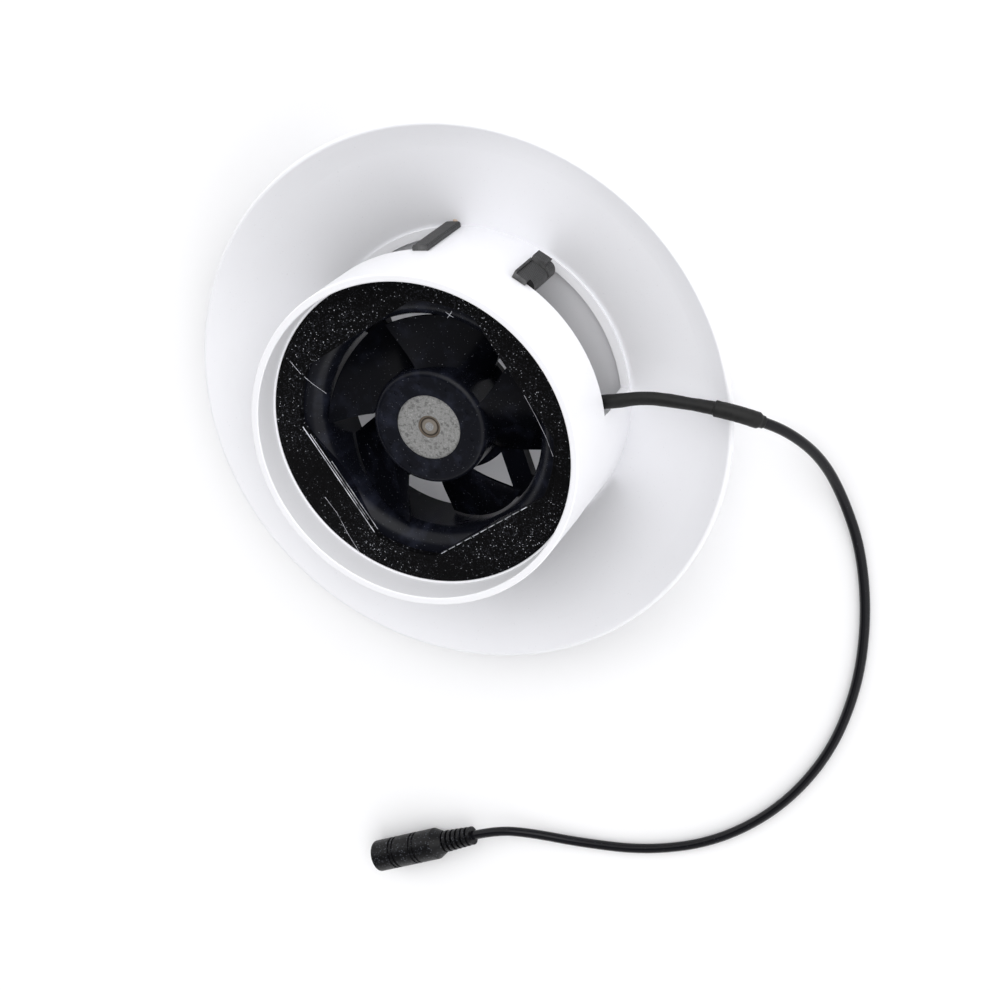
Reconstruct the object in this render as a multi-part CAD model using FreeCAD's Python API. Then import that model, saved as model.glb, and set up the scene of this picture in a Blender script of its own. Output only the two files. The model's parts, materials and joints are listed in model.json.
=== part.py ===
"""Vent cowl with a built-in axial fan: a white moulded cowl that slips over a pipe,
a printed holder with edge clips, an 80 mm fan taken down to its bearings, and a
short lead that ends in a round power socket.

Millimetres. +Z is up: the cowl rests on the flat crown of its hat, mouth up.
The origin is on the resting surface, on the axis of the tube and of the rotor.
"""
import FreeCAD, Part
import math
import os

from FreeCAD import Vector

# ---------------------------------------------------------------- driving sizes
# cowl tube: it slips over the end of a pipe
pipe_diameter = 110.0
pipe_clearance = 0.3            # between pipe and tube, on the radius
tube_wall = 2.5
pipe_stop = 0.6                 # step inside the tube that the pipe meets
window_front_depth = 28.8       # all depths are measured down from the mouth
leg_end_depth = 56.4
leg_count = 4
leg_half_angle = 17.5
leg_first_angle = 43.8
edge_break = 0.35               # small chamfer round the mouth

# hat: a shallow dome with a turned lip and a flat crown
hat_radius = 98.0
hat_rim_depth = 40.3
hat_wall = 2.2
lip_width = 5.8
lip_rise = 3.6
lip_bend_length = 4.6           # the bend into the lip is soft this far each way
lip_edge_radius = 0.8           # rounds the lip's free edge
seat_rib_height = 1.2           # ring on the hat that the legs stand on
crown_flat_radius = 28.0
crown_depth = 65.0              # inside of the crown

# printed fan holder
holder_depth = 12.2             # the pipe is pushed in this far
holder_plate = 3.0
holder_clearance = 0.15         # between the plate and the tube
holder_opening_radius = 45.5
holder_lap = 1.1                # how far the plate laps each side of the fan
pocket_wall = 1.6
pocket_clearance = 0.15
pocket_height = 9.0
pocket_wall_half_length = 30.0
snap_near_edge = 9.0            # the snap arms stand beside the middle of each side
snap_far_edge = 21.0
snap_hook = 1.1
snap_hook_height = 1.6

# printed edge clips on two opposite legs
clip_thickness = 1.9
clip_gap = 0.1
plain_clip_lap = 3.6
notched_clip_lap = 1.8
clip_inner_lap = 5.5
clip_foot_gap = 0.6             # from the hat's seat rib to the end of the plain clip
clip_ring_lap = 2.2             # how far the clips reach onto the tube past the window
clip_rounding = 0.9
roll_radius = 3.2               # rounded back of the notched clip, beside the leg's edge
block_length = 15.0
notch_length = 2.0
finger_length = 6.0
finger_lift = 1.0
clip_lip = 0.8

# fan housing
fan_size = 80.0
fan_thickness = 25.0
fan_corner_radius = 5.2
fan_hole_spacing = 71.5
fan_hole_radius = 2.15
flange_thickness = 4.2
barrel_wall = 1.7
bore_radius = 38.2
flare_radius = 7.2
strut_width = 8.2
strut_height = 4.2
strut_offset = 16.8             # from the axis to the strut's middle line
strut_lean = -16.4
strut_count = 4
motor_base_radius = 23.2
motor_base_thickness = 2.4
bearing_tube_wall = 1.2
label_thickness = 0.15
label_margin = 2.0

# impeller and rotor
hub_radius = 20.3
hub_setback = 0.8               # hub face below the front of the housing
hub_wall = 1.3
hub_shoulder = 2.4
hub_window_radius = 11.35
hub_floor_gap = 1.1             # from the hub's skirt to the motor base
tip_clearance = 0.9
blade_count = 5
blade_first_angle = 24.2
blade_sweep = 12.0              # leading edge, forward from root to tip
blade_chord_root = 62.0
blade_chord_tip = 57.0
blade_setback = 0.7
blade_height = 16.6
blade_thickness = 1.25
blade_edge_curve = 1.3          # how the leading edge bends between root and tip
blade_camber = 0.22             # share of the blade's fall that comes late
blade_stations = 5              # across the blade
blade_steps = 6                 # along it
dimple_count = 10
dimple_radius = 0.75
dimple_depth = 0.35
dimple_circle_radius = 15.8
dimple_first_angle = 11.0
cup_wall = 1.0
cup_pad_height = 0.7
magnet_thickness = 1.9
magnet_height = 13.0
shaft_radius = 1.5
bush_radius = 4.0
bush_length = 4.3
bush_recess = 0.35

# bearings on the shaft
bearing_radius = 4.0
bearing_width = 3.0
inner_race_radius = 2.25
outer_race_bore = 3.25
ball_radius = 0.72
ball_clearance = 0.05
ball_count = 8
bearing_shoulder_bore = 3.3
retainer_radius = 2.7
retainer_thickness = 0.5
retainer_gap = 0.1
retainer_groove = 0.4
washer_radius = 2.55
washer_clearance = 0.1
washer_notch = 1.0
washer_waves = 3
shaft_end_gap = 0.3             # from the shaft's end to the label
shaft_tail = 0.4

# stator and circuit board
stator_gap = 0.5                # air gap to the magnet
stator_stack = 8.0
pole_count = 4
pole_width = 4.6
pole_shoe = 2.2
pole_shoe_half_angle = 36.0
stator_ring_wall = 2.4
insulator_thickness = 0.8
coil_thickness = 2.6
coil_gap = 0.3                  # between a coil and the iron round it
board_thickness = 1.2
board_gap = 0.6
board_margin = 2.8
board_part_room = 1.6
board_part_sizes = [(2.6, 3.2, 1.2), (4.0, 4.8, 1.3), (1.6, 1.0, 0.8), (1.6, 1.0, 0.8), (2.0, 1.3, 0.7)]

# lead
cable_radius = 1.8
sleeve_radius = 2.35
sleeve_length = 61.0
end_sleeve_radius = 2.8
end_sleeve_length = 17.0
end_sleeve_overhang = 2.0       # past the end of the long sleeve
wire_radius = 0.55
wire_gap = 0.15                 # between the two wires and round them
socket_radius = 6.2
socket_body_length = 28.0
socket_shoulder_length = 4.0
socket_neck_radius = 4.2
relief_length = 13.0
relief_rib_count = 6
relief_rib_radius = 3.6         # of the rib nearest the cable
relief_rib_growth = 0.12        # from each rib to the next
relief_rib_share = 0.6          # of the pitch
relief_core_radius = 2.7
groove_depth = 0.45
groove_width = 0.9
groove_places = (0.27, 0.33, 0.62, 0.68)    # along the body
socket_edge_radius = 0.6
barrel_setback = 0.3
pin_setback = 1.2
socket_bore_radius = 2.75
socket_bore_depth = 9.5
barrel_wall_metal = 0.35
centre_pin_radius = 1.05
insulator_plug_length = 3.0

# ---------------------------------------------------------------- derived sizes
tube_inner = pipe_diameter / 2 + pipe_clearance
tube_outer = tube_inner + tube_wall
body_inner = tube_inner - pipe_stop
total_height = crown_depth + hat_wall
brim_depth = leg_end_depth + seat_rib_height


def z_at(depth):
    """Height above the resting surface of a depth below the mouth."""
    return total_height - depth


fan_front = z_at(holder_depth + holder_plate)
fan_back = fan_front - fan_thickness
fan_half = fan_size / 2
leg_angles = [leg_first_angle + 360 / leg_count * i for i in range(leg_count)]
clip_legs = [leg_angles[1], leg_angles[3]]

hub_top = fan_front - hub_setback
base_top = fan_back + motor_base_thickness
hub_bottom = base_top + hub_floor_gap
tip_radius = bore_radius - tip_clearance
cup_outer = hub_radius - hub_wall
cup_top = hub_top - hub_wall
magnet_outer = cup_outer - cup_wall
magnet_inner = magnet_outer - magnet_thickness
stator_radius = magnet_inner - stator_gap
bearing_tube_outer = bearing_radius + bearing_tube_wall
board_bottom = base_top + board_gap
board_top = board_bottom + board_thickness
stator_bottom = board_top + board_part_room + insulator_thickness + coil_thickness
stator_top = stator_bottom + stator_stack
shaft_bottom = fan_back + label_thickness + shaft_end_gap
retainer_bottom = shaft_bottom + shaft_tail
lower_bearing_bottom = retainer_bottom + retainer_thickness + retainer_gap
upper_bearing_top = stator_top + insulator_thickness
bush_top = cup_top + cup_pad_height - bush_recess
bush_bottom = bush_top - bush_length
board_outer = magnet_outer - board_margin


# ---------------------------------------------------------------- shape helpers
def cylinder(radius, bottom, top, x=0.0, y=0.0):
    return Part.makeCylinder(radius, top - bottom, Vector(x, y, bottom))


def ring(outer, inner, bottom, top, x=0.0, y=0.0):
    return cylinder(outer, bottom, top, x, y).cut(cylinder(inner, bottom - 1, top + 1, x, y))


def block(x0, x1, y0, y1, z0, z1):
    return Part.makeBox(x1 - x0, y1 - y0, z1 - z0, Vector(x0, y0, z0))


def turned(shape, degrees):
    """A copy of the shape turned about the tube's axis."""
    copy = shape.copy()
    copy.rotate(Vector(0, 0, 0), Vector(0, 0, 1), degrees)
    return copy


def around(shape, count, first=0.0):
    """Copies of a shape spread evenly round the axis."""
    return [turned(shape, first + 360 / count * i) for i in range(count)]


def polar(radius, degrees, z=0.0):
    angle = math.radians(degrees)
    return Vector(radius * math.cos(angle), radius * math.sin(angle), z)


def arc_between(radius, start, end, height):
    """An arc about the axis from one angle to another."""
    middle = (start + end) / 2
    points = [polar(radius, angle, height) for angle in (start, middle, end)]
    return Part.Arc(*points).toShape()


def sector(inner, outer, start, end, bottom, top):
    """A piece of a ring between two angles."""
    edges = [
        Part.LineSegment(polar(inner, start, bottom), polar(outer, start, bottom)).toShape(),
        arc_between(outer, start, end, bottom),
        Part.LineSegment(polar(outer, end, bottom), polar(inner, end, bottom)).toShape(),
        arc_between(inner, end, start, bottom),
    ]
    face = Part.Face(Part.Wire(edges))
    return face.extrude(Vector(0, 0, top - bottom))


def spin(edges):
    """Turn a closed section in the XZ plane round the Z axis."""
    face = Part.Face(Part.Wire(edges))
    return face.revolve(Vector(0, 0, 0), Vector(0, 0, 1), 360)


def line(start, end):
    return Part.LineSegment(start, end).toShape()


def rounded_square(size, corner, bottom, top):
    """An upright block on the axis with rounded corners."""
    half = size / 2
    solid = block(-half, half, -half, half, bottom, top)
    upright = [e for e in solid.Edges if abs(e.tangentAt(e.FirstParameter).z) > 0.99]
    return solid.makeFillet(corner, upright)


def join(shapes):
    whole = shapes[0]
    if len(shapes) > 1:
        whole = whole.fuse(shapes[1:])
    return whole.removeSplitter()


def sized_angle(length, radius):
    """The angle, in degrees, that an arc of this length takes at a radius."""
    return math.degrees(length / radius)


nodes = {}


# ---------------------------------------------------------------- cowl
def make_tube():
    socket = ring(tube_outer, tube_inner, z_at(holder_depth), total_height)
    tube = join([socket, ring(tube_outer, body_inner, z_at(leg_end_depth), z_at(holder_depth))])
    rim = [e for e in tube.Edges if abs(e.CenterOfMass.z - total_height) < 0.01 and e.Length > 1]
    tube = tube.makeChamfer(edge_break, rim)
    windows = []
    for angle in leg_angles:
        gap_start = angle + leg_half_angle
        gap_end = angle + 360 / leg_count - leg_half_angle
        windows.append(sector(body_inner - 1, tube_outer + 1, gap_start, gap_end,
                              z_at(leg_end_depth) - 1, z_at(window_front_depth)))
    return tube.cut(windows)


def circle_through(a, b, c):
    """Centre and radius of the circle through three points of the XZ plane."""
    circle = Part.Arc(a, b, c).toShape().Curve
    return circle.Center, circle.Radius


def soft_bend(first, first_way, second, second_way):
    """A smooth curve between two points that keeps to the given way at each."""
    gap = second - first
    turn = first_way.x * second_way.z - first_way.z * second_way.x
    reach = (gap.x * second_way.z - gap.z * second_way.x) / turn
    curve = Part.BezierCurve()
    curve.setPoles([first, first + first_way * reach, second])
    return curve.toShape()


def hat_section():
    lip_root = Vector(hat_radius - lip_width, 0, z_at(hat_rim_depth + lip_rise))
    crease = Vector(tube_outer, 0, z_at(brim_depth))
    crown_edge = Vector(crown_flat_radius, 0, z_at(crown_depth))
    centre, radius = circle_through(lip_root, crease, crown_edge)
    outer_radius = radius + hat_wall

    def on_outer(inner_point):
        way = inner_point - centre
        way.normalize()
        return centre + way * outer_radius

    lip_way = Vector(lip_width, 0, lip_rise)
    lip_way.normalize()
    lip_out = Vector(lip_way.z, 0, -lip_way.x)
    lip_tip_outer = Vector(hat_radius, 0, z_at(hat_rim_depth) + lip_out.z * hat_wall)
    lip_tip = lip_tip_outer - lip_out * hat_wall
    lip_root_outer = on_outer(lip_root)
    crease_outer = on_outer(crease)
    lip_angle = math.atan2(lip_root.z - centre.z, lip_root.x - centre.x)
    bend_angle = lip_angle - lip_bend_length / radius
    bend_out = Vector(math.cos(bend_angle), 0, math.sin(bend_angle))
    bend_way = Vector(-bend_out.z, 0, bend_out.x)
    bend_inner = centre + bend_out * radius
    bend_outer = centre + bend_out * outer_radius
    inner_way = (lip_tip - lip_root).normalize()
    outer_way = (lip_tip_outer - lip_root_outer).normalize()
    lip_inner = lip_root + inner_way * lip_bend_length
    lip_outer = lip_root_outer + outer_way * lip_bend_length
    foot_x = centre.x + math.sqrt(outer_radius ** 2 - centre.z ** 2)
    foot = Vector(foot_x, 0, 0)
    return [
        line(Vector(0, 0, z_at(crown_depth)), crown_edge),
        Part.Arc(crown_edge, crease, bend_inner).toShape(),
        soft_bend(bend_inner, bend_way, lip_inner, inner_way),
        line(lip_inner, lip_tip),
        line(lip_tip, lip_tip_outer),
        line(lip_tip_outer, lip_outer),
        soft_bend(lip_outer, outer_way, bend_outer, bend_way),
        Part.Arc(bend_outer, crease_outer, foot).toShape(),
        line(foot, Vector(0, 0, 0)),
        line(Vector(0, 0, 0), Vector(0, 0, z_at(crown_depth))),
    ]


def circle_edges(shape, low_radius, high_radius, low, high):
    """The level circles of a turned shape within a band of radius and height."""
    found = []
    for edge in shape.Edges:
        box = edge.BoundBox
        if box.ZLength < 0.01 and low_radius < box.XMax < high_radius and low < box.ZMin < high:
            found.append(edge)
    return found


def make_hat():
    dome = spin(hat_section())
    top = z_at(hat_rim_depth) + 1
    lip_edges = circle_edges(dome, hat_radius - 2 * lip_edge_radius, hat_radius + 1, hat_wall, top)
    dome = dome.makeFillet(lip_edge_radius, lip_edges)
    rib = ring(tube_outer, body_inner, z_at(brim_depth) - hat_wall / 2, z_at(leg_end_depth))
    return join([dome, rib])


# ---------------------------------------------------------------- printed holder and clips
def make_holder():
    plate_top = z_at(holder_depth)
    radius = body_inner - holder_clearance
    opening_half = fan_half - holder_lap
    opening = cylinder(holder_opening_radius, fan_front - 1, plate_top + 1).common(
        block(-opening_half, opening_half, -opening_half, opening_half, fan_front - 1, plate_top + 1))
    plate = cylinder(radius, fan_front, plate_top).cut(opening)
    wall_in = fan_half + pocket_clearance
    wall_out = wall_in + pocket_wall
    wall = block(wall_in, wall_out, -pocket_wall_half_length, pocket_wall_half_length,
                 fan_front - pocket_height, fan_front)
    hook_top = fan_back - pocket_clearance
    arm = block(wall_in, wall_out, snap_near_edge, snap_far_edge, hook_top, fan_front)
    hook = block(wall_in - snap_hook, wall_out, snap_near_edge, snap_far_edge,
                 hook_top - snap_hook_height, hook_top)
    side = join([wall, arm, hook])
    return join([plate] + around(side, 4))


def clip_bar(edge, side, back, low):
    """A clip's bar inside the leg; side is +1 where the leg lies at larger angles."""
    inner = body_inner - clip_gap - clip_thickness
    ends = sorted([edge - side * sized_angle(back, tube_outer),
                   edge + side * sized_angle(clip_inner_lap, body_inner)])
    return sector(inner, body_inner - clip_gap, ends[0], ends[1], low, fan_front - clip_gap)


def clip_web(edge, side, back, low, high):
    """The part of a clip that stands in the window, beside the leg's edge."""
    inner = body_inner - clip_gap - clip_thickness
    outer = tube_outer + clip_gap + clip_thickness
    ends = sorted([edge - side * sized_angle(back, tube_outer),
                   edge - side * sized_angle(clip_gap, tube_outer)])
    return sector(inner, outer, ends[0], ends[1], low, high)


def make_plain_clip(edge, side):
    back = clip_thickness + clip_gap
    low = z_at(brim_depth - clip_foot_gap - seat_rib_height)
    high = z_at(window_front_depth + clip_gap)
    outer = tube_outer + clip_gap + clip_thickness
    ends = sorted([edge - side * sized_angle(back, tube_outer),
                   edge + side * sized_angle(plain_clip_lap, tube_outer)])
    outer_leg = sector(tube_outer + clip_gap, outer, ends[0], ends[1], low, high + clip_ring_lap)
    corners = [e for e in outer_leg.Edges if e.BoundBox.ZLength > 1
               and math.hypot(e.CenterOfMass.x, e.CenterOfMass.y) > outer - clip_gap]
    outer_leg = outer_leg.makeFillet(clip_rounding, corners)
    web = clip_web(edge, side, back, low, high).common(cylinder(tube_outer + clip_gap * 2, low, high))
    return join([outer_leg, web, clip_bar(edge, side, back, low)])


def make_notched_clip(edge, side):
    back = roll_radius + clip_gap
    high = z_at(window_front_depth + clip_gap)
    outer = tube_outer + clip_gap + clip_thickness
    top = high + clip_ring_lap
    notch_top = top - block_length
    finger_top = notch_top - notch_length
    low = finger_top - finger_length
    back_angle = edge - side * sized_angle(back, tube_outer)
    lap_angle = edge + side * sized_angle(notched_clip_lap, tube_outer)
    ends = sorted([back_angle, lap_angle])
    leg = sector(tube_outer + clip_gap, outer, ends[0], ends[1], notch_top, top)
    lip_ends = sorted([lap_angle, lap_angle - side * sized_angle(clip_lip, tube_outer)])
    lip = sector(tube_outer + clip_gap, outer + clip_lip, lip_ends[0], lip_ends[1], notch_top, top)
    finger = sector(tube_outer + clip_gap, outer + finger_lift, ends[0], ends[1], low, finger_top)
    centre = polar(outer - roll_radius, back_angle)
    roll = cylinder(roll_radius, low, high, centre.x, centre.y)
    web = join([clip_web(edge, side, back, low, high), roll])
    far = sized_angle(2 * roll_radius, tube_outer)
    cut_ends = sorted([back_angle - side * far, edge + side * far])
    notch = sector(tube_outer, outer + finger_lift + 1, cut_ends[0], cut_ends[1], finger_top, notch_top)
    return join([web.cut(notch), clip_bar(edge, side, back, low), leg, lip, finger])


# ---------------------------------------------------------------- fan housing
def flare():
    """The rounded intake that is cut from the front of the housing."""
    centre_x = bore_radius + flare_radius
    deep = fan_front - flare_radius
    mid = Vector(centre_x - flare_radius * math.cos(math.radians(45)), 0,
                 deep + flare_radius * math.sin(math.radians(45)))
    return spin([
        line(Vector(0, 0, deep), Vector(bore_radius, 0, deep)),
        Part.Arc(Vector(bore_radius, 0, deep), mid, Vector(centre_x, 0, fan_front)).toShape(),
        line(Vector(centre_x, 0, fan_front), Vector(centre_x, 0, fan_front + 1)),
        line(Vector(centre_x, 0, fan_front + 1), Vector(0, 0, fan_front + 1)),
        line(Vector(0, 0, fan_front + 1), Vector(0, 0, deep)),
    ])


def make_housing():
    front = rounded_square(fan_size, fan_corner_radius, fan_front - flange_thickness, fan_front)
    back = rounded_square(fan_size, fan_corner_radius, fan_back, fan_back + flange_thickness)
    square = block(-fan_half, fan_half, -fan_half, fan_half, fan_back, fan_front)
    barrel = cylinder(bore_radius + barrel_wall, fan_back, fan_front).common(square)
    shell = join([front, back, barrel])
    side_limit = fan_half - holder_lap
    mouth = flare().common(block(-side_limit, side_limit, -side_limit, side_limit, fan_back, fan_front + 1))
    cuts = [cylinder(bore_radius, fan_back - 1, fan_front + 1), mouth]
    place = fan_hole_spacing / 2
    for sx in (-1, 1):
        for sy in (-1, 1):
            cuts.append(cylinder(fan_hole_radius, fan_back - 1, fan_front + 1, sx * place, sy * place))
    shell = shell.cut(cuts)
    return shell.cut(wire_channel())


def make_motor_base():
    """Round base and bearing tube that the stator is pressed onto."""
    base = cylinder(motor_base_radius, fan_back, base_top)
    tube = cylinder(bearing_tube_outer, fan_back, upper_bearing_top)
    hollow = [
        cylinder(bearing_radius, fan_back - 1, lower_bearing_bottom + bearing_width),
        cylinder(bearing_shoulder_bore, fan_back, upper_bearing_top),
        cylinder(bearing_radius, upper_bearing_top - bearing_width, upper_bearing_top + 1),
        cylinder(motor_base_radius - label_margin, fan_back - 1, fan_back + label_thickness),
    ]
    return join([base, tube]).cut(hollow + wire_channel())


def make_struts():
    """The four arms that hold the motor base in the housing."""
    top = fan_back + strut_height
    strut = block(0, bore_radius + 1, -strut_width / 2, strut_width / 2, fan_back, top)
    strut.translate(Vector(0, strut_offset, 0))
    span = ring(bore_radius, motor_base_radius, fan_back, top)
    struts = around(strut.common(span), strut_count, strut_lean)
    return Part.makeCompound(struts).cut(wire_channel())


# ---------------------------------------------------------------- impeller
def blade_grid(lift):
    """Points of one face of a blade, from root to tip and from front to back edge."""
    root = hub_radius - hub_wall / 2
    top = hub_top - blade_setback
    rows = []
    for i in range(blade_stations):
        share = i / (blade_stations - 1)
        radius = root + (tip_radius - root) * share
        front = blade_first_angle - blade_sweep * (1 - share) ** blade_edge_curve
        chord = blade_chord_root + (blade_chord_tip - blade_chord_root) * share
        row = []
        for j in range(blade_steps):
            back = j / (blade_steps - 1)
            drop = blade_height * ((1 - blade_camber) * back + blade_camber * back ** 2)
            row.append(polar(radius, front - chord * back, top - drop - blade_thickness + lift))
        rows.append(row)
    return rows


def sheet_edges(surface):
    u0, u1, v0, v1 = surface.bounds()
    return [surface.uIso(u0).toShape(), surface.uIso(u1).toShape(),
            surface.vIso(v0).toShape(), surface.vIso(v1).toShape()]


def make_blade():
    surfaces = []
    for lift in (0.0, blade_thickness):
        surface = Part.BSplineSurface()
        surface.interpolate(blade_grid(lift))
        surfaces.append(surface)
    faces = [s.toShape() for s in surfaces]
    for low, high in zip(sheet_edges(surfaces[0]), sheet_edges(surfaces[1])):
        faces.append(Part.makeRuledSurface(low, high))
    shell = Part.makeShell(faces)
    shell.sewShape()
    solid = Part.makeSolid(shell)
    if solid.Volume < 0:
        solid.reverse()
    return solid


def make_hub():
    outside = cylinder(hub_radius, hub_bottom, hub_top)
    face_edge = [e for e in outside.Edges if abs(e.CenterOfMass.z - hub_top) < 0.01 and len(e.Vertexes) == 1
                 and abs(e.BoundBox.ZLength) < 0.01]
    outside = outside.makeFillet(hub_shoulder, face_edge)
    hub = outside.cut([cylinder(cup_outer, hub_bottom - 1, cup_top),
                       cylinder(hub_window_radius, hub_bottom, hub_top + 1)])
    dimple = cylinder(dimple_radius, hub_top - dimple_depth, hub_top + 1, dimple_circle_radius)
    hub = hub.cut(around(dimple, dimple_count, dimple_first_angle))
    return hub


def make_blades():
    """Each blade ends on the hub's skirt."""
    hub_room = cylinder(hub_radius, hub_bottom - blade_height, hub_top + 1)
    return around(make_blade().cut(hub_room), blade_count)


def make_cup():
    shell = cylinder(cup_outer, hub_bottom, cup_top).cut(
        cylinder(magnet_outer, hub_bottom - 1, cup_top - cup_wall))
    pad = cylinder(hub_window_radius, cup_top - cup_wall, cup_top + cup_pad_height)
    return join([shell, pad]).cut(cylinder(bush_radius, hub_bottom, hub_top + 1))


def make_bush():
    return ring(bush_radius, shaft_radius, bush_bottom, bush_top)


def make_magnet():
    top = cup_top - cup_wall
    return ring(magnet_outer, magnet_inner, top - magnet_height, top)


def make_shaft():
    shaft = cylinder(shaft_radius, shaft_bottom, bush_top + bush_recess / 2)
    groove_top = retainer_bottom + retainer_thickness
    groove = ring(shaft_radius + 1, shaft_radius - retainer_groove, retainer_bottom, groove_top)
    return shaft.cut(groove)


def make_retainer():
    top = retainer_bottom + retainer_thickness
    disc = ring(retainer_radius, shaft_radius - retainer_groove, retainer_bottom, top)
    mouth = block(0, retainer_radius + 1, -shaft_radius / 2, shaft_radius / 2, retainer_bottom - 1, top + 1)
    return disc.cut(mouth)


def make_bearing(bottom):
    """Outer race, inner race and balls of one bearing on the shaft."""
    top = bottom + bearing_width
    middle = (bottom + top) / 2
    pitch = (inner_race_radius + outer_race_bore) / 2
    track = Part.makeTorus(pitch, ball_radius + ball_clearance, Vector(0, 0, middle))
    outer = ring(bearing_radius, outer_race_bore, bottom, top).cut(track)
    inner = ring(inner_race_radius, shaft_radius, bottom, top).cut(track)
    balls = []
    for i in range(ball_count):
        balls.append(Part.makeSphere(ball_radius, polar(pitch, 360 / ball_count * i, middle)))
    return outer, inner, Part.makeCompound(balls)


def make_washer():
    """Preload washer between the upper inner race and the bush, notched from both faces."""
    low = upper_bearing_top
    middle = (low + bush_bottom) / 2
    washer = ring(washer_radius, shaft_radius + washer_clearance, low, bush_bottom)
    half = washer_notch / 2
    from_below = block(0, washer_radius + 1, -half, half, low - 1, middle)
    from_above = block(0, washer_radius + 1, -half, half, middle, bush_bottom + 1)
    notches = around(from_below, washer_waves) + around(from_above, washer_waves, 180 / washer_waves)
    return washer.cut(notches)


# ---------------------------------------------------------------- stator and board
def make_core():
    hub = ring(bearing_tube_outer + stator_ring_wall, bearing_tube_outer, stator_bottom, stator_top)
    arm = block(bearing_tube_outer + stator_ring_wall / 2, stator_radius - pole_shoe / 2,
                -pole_width / 2, pole_width / 2, stator_bottom, stator_top)
    shoe = sector(stator_radius - pole_shoe, stator_radius, -pole_shoe_half_angle, pole_shoe_half_angle,
                  stator_bottom, stator_top)
    pole = join([arm, shoe])
    return join([hub] + around(pole, pole_count, 45))


def make_insulators():
    """A moulded end cap on each face of the core."""
    start = bearing_tube_outer
    end = stator_radius - pole_shoe
    caps = []
    for bottom in (stator_bottom - insulator_thickness, stator_top):
        top = bottom + insulator_thickness
        hub = ring(start + stator_ring_wall, start, bottom, top)
        arm = block(start + stator_ring_wall / 2, end, -pole_width / 2, pole_width / 2, bottom, top)
        caps.append(join([hub] + around(arm, pole_count, 45)))
    return Part.makeCompound(caps)


def make_coils():
    inner = bearing_tube_outer + stator_ring_wall + coil_gap
    low = stator_bottom - insulator_thickness
    high = stator_top + insulator_thickness
    slot_half = math.tan(math.radians(180 / pole_count)) * inner
    room = min(coil_thickness, slot_half - pole_width / 2 - coil_gap)
    coil_half = pole_width / 2 + room
    outer = math.sqrt((stator_radius - pole_shoe) ** 2 - coil_half ** 2) - coil_gap
    outside = block(inner, outer, -coil_half, coil_half,
                    low - coil_thickness + coil_gap, high + coil_thickness - coil_gap)
    lengthwise = [e for e in outside.Edges if abs(e.tangentAt(e.FirstParameter).x) > 0.99]
    outside = outside.makeFillet(min(room, coil_thickness) * 0.8, lengthwise)
    coil = outside.cut(block(inner - 1, outer + 1, -pole_width / 2, pole_width / 2, low, high))
    return Part.makeCompound(around(coil, pole_count, 45))


def make_board():
    return ring(board_outer, bearing_tube_outer, board_bottom, board_top)


def make_board_parts():
    """Hall sensor, driver and capacitors on the board."""
    radius = (bearing_tube_outer + board_outer) / 2
    parts = []
    for i, (long, wide, tall) in enumerate(board_part_sizes):
        chip = block(radius - long / 2, radius + long / 2, -wide / 2, wide / 2, board_top, board_top + tall)
        parts.append(turned(chip, 360 / len(board_part_sizes) * i))
    return Part.makeCompound(parts)


def make_label():
    return cylinder(motor_base_radius - label_margin, fan_back, fan_back + label_thickness)


# ---------------------------------------------------------------- lead
# route of the power cable from the fan's side to the socket
cable_route = [
    (20.5, 43.4, 33.6),
    (24.8, 52.6, 34.4),
    (29.6, 64.8, 33.6),
    (37.6, 74.8, 32.6),
    (45.2, 84.3, 32.6),
    (53.6, 91.6, 30.6),
    (65.0, 96.2, 22.5),
    (80.5, 96.0, 11.0),
    (98.0, 91.8, 3.6),
    (118.0, 86.0, 1.8),
    (141.0, 73.8, 1.8),
    (162.5, 56.6, 1.8),
    (181.0, 33.4, 1.8),
    (192.6, 4.6, 1.8),
    (195.0, -25.5, 1.8),
    (187.8, -53.0, 1.8),
    (174.5, -76.0, 1.8),
    (161.8, -91.5, 4.0),
    (154.4, -102.6, 6.2),
    (152.4, -113.4, 6.2),
]

# route of the fan's own two wires, from the board along a strut to the cable
wire_strut = 1
wire_start = 8.0                # along the strut, from the point nearest the axis
wire_hole_inset = 2.4           # from the board's edge to the hole under it
wire_turn = 33.8
wire_side_step = 2.4
wire_rise = 1.2
wire_bend_limit = 2.4
wire_lead_in = 2.6
wire_bend_room = 1.2            # inside the bend of the channel


def route_edges(points, limit=None):
    """Straight runs joined by arcs that are tangent to both."""
    way = [Vector(*p) for p in points]
    edges = []
    radii = []
    last = way[0]
    for before, corner, after in zip(way, way[1:], way[2:]):
        back = before - corner
        ahead = after - corner
        shorter = min(back.Length, ahead.Length)
        back.normalize()
        ahead.normalize()
        turn = math.pi - back.getAngle(ahead)
        radius = 0.45 * shorter / math.tan(turn / 2)
        if limit:
            radius = min(radius, limit)
        reach = radius * math.tan(turn / 2)
        start = corner + back * reach
        end = corner + ahead * reach
        bisector = back + ahead
        bisector.normalize()
        middle = corner + bisector * (radius / math.cos(turn / 2) - radius)
        edges.append(line(last, start))
        edges.append(Part.Arc(start, middle, end).toShape())
        radii.append(round(radius, 1))
        last = end
    edges.append(line(last, way[-1]))
    return edges, radii


def stretch(edges, start, end):
    """The part of a route between two lengths along it."""
    pieces = []
    run = 0.0
    for edge in edges:
        low = max(start - run, 0.0)
        high = min(end - run, edge.Length)
        if high > low + 1e-6:
            curve = edge.Curve
            first = edge.getParameterByLength(low)
            last = edge.getParameterByLength(high)
            pieces.append(curve.toShape(first, last))
        run += edge.Length
    return pieces


def tube_along(edges, radius):
    """A round solid along a route."""
    path = Part.Wire(edges)
    start = edges[0].valueAt(edges[0].FirstParameter)
    heading = edges[0].tangentAt(edges[0].FirstParameter)
    section = Part.Wire([Part.makeCircle(radius, start, heading)])
    return path.makePipeShell([section], True, False)


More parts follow.
